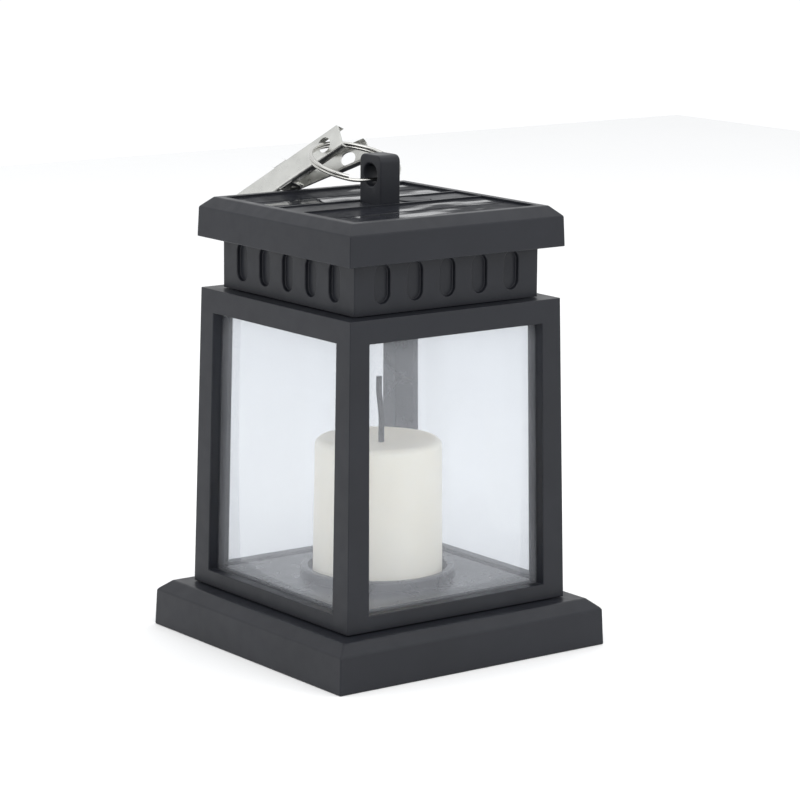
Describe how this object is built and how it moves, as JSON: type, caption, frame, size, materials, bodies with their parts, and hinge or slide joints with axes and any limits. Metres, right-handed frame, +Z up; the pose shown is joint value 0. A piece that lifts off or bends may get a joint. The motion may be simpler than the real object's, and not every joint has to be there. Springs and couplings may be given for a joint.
{
  "type": "solar lantern",
  "caption": "Square solar lantern with a glazed cage, an electric candle, solar panels on the roof, a push button, and a hanging lug with a split ring and a sprung clip.",
  "frame": {"origin": "centre of the base's underside, on the surface the lantern stands on", "axes": "+Z up through the hanging lug; +X along the strip between the two solar panels, towards the push button; +Y towards the side the ring and clip lie on"},
  "size_m": [0.09, 0.1047, 0.1408],
  "materials": {
    "housing_plastic": "satin charcoal black, injection moulded",
    "window_glass": "clear, slightly milky, polished",
    "candle_plastic": "wax-like ivory, translucent",
    "wick_plastic": "dark, matte",
    "screw_steel": "zinc-plated",
    "nickel_plate": "nickel-plated, lightly brushed",
    "contact_steel": "nickel-plated spring steel",
    "solar_cell": "dark cell under clear gloss resin",
    "button_plastic": "satin",
    "switch_plastic": "matt",
    "circuit_laminate": "green solder mask",
    "led_resin": "diffused warm resin",
    "battery_can": "shrink-sleeved can",
    "red_wire": "insulated wire",
    "black_wire": "insulated wire"
  },
  "bodies": {
    "lantern": {"base_plinth": "housing_plastic", "bottom_cover": "housing_plastic", "cage_frame": "housing_plastic", "candle_floor": "housing_plastic", "wire_channel": "housing_plastic", "neck_shell": "housing_plastic", "roof_shell": "housing_plastic", "hanging_lug": "housing_plastic", "window_pane_front_right": "window_glass", "window_pane_back_right": "window_glass", "window_pane_back_left": "window_glass", "window_pane_front_left": "window_glass", "candle_shell": "candle_plastic", "candle_wick": "wick_plastic", "base_screw_1": "screw_steel", "base_screw_2": "screw_steel", "base_screw_3": "screw_steel", "base_screw_4": "screw_steel", "cage_screw_1": "screw_steel", "cage_screw_2": "screw_steel", "cage_screw_3": "screw_steel", "cage_screw_4": "screw_steel", "board_screw_1": "screw_steel", "board_screw_2": "screw_steel", "neck_screw_1": "screw_steel", "neck_screw_2": "screw_steel", "lug_screw_1": "screw_steel", "lug_screw_2": "screw_steel", "battery_contact_positive": "contact_steel", "battery_contact_spring": "contact_steel", "solar_panel_front": "solar_cell", "solar_panel_back": "solar_cell", "button_switch": "switch_plastic", "battery_holder": "switch_plastic", "circuit_board": "circuit_laminate", "led_board": "circuit_laminate", "candle_led": "led_resin", "battery_cell": "battery_can", "led_lead_red": "red_wire", "panel_lead_front": "red_wire", "led_lead_black": "black_wire", "panel_lead_back": "black_wire"},
    "ring": {"split_ring": "nickel_plate"},
    "clip": {"clip_upper_plate": "nickel_plate", "clip_pin": "nickel_plate", "clip_spring": "nickel_plate"},
    "clip_lever": {"clip_lower_plate": "nickel_plate"},
    "button": {"power_button": "button_plastic", "switch_plunger": "switch_plastic"}
  },
  "joints": [
    {"name": "ring_swing", "type": "hinge", "parent": "lantern", "child": "ring", "pos_m": [0, 0, 0.1277], "axis": [1, 0, 0], "range_deg": [0, 150]},
    {"name": "clip_swing", "type": "hinge", "parent": "ring", "child": "clip", "pos_m": [-0.0018, 0.02353, 0.13512], "axis": [0.9894, 0.1384, 0.0436], "range_deg": [0, 97]},
    {"name": "clip_lever_open", "type": "hinge", "parent": "clip", "child": "clip_lever", "pos_m": [-0.00462, 0.03606, 0.12484], "axis": [-0.193, -0.6479, -0.7369], "range_deg": [0, 5], "stiffness_Nm_per_rad": 0.02, "springref_deg": -17.19},
    {"name": "button_press", "type": "slide", "parent": "lantern", "child": "button", "axis": [0, 0, -1], "range_m": [0, 0.0012], "stiffness_N_per_m": 800, "springref_m": -0.0005}
  ]
}
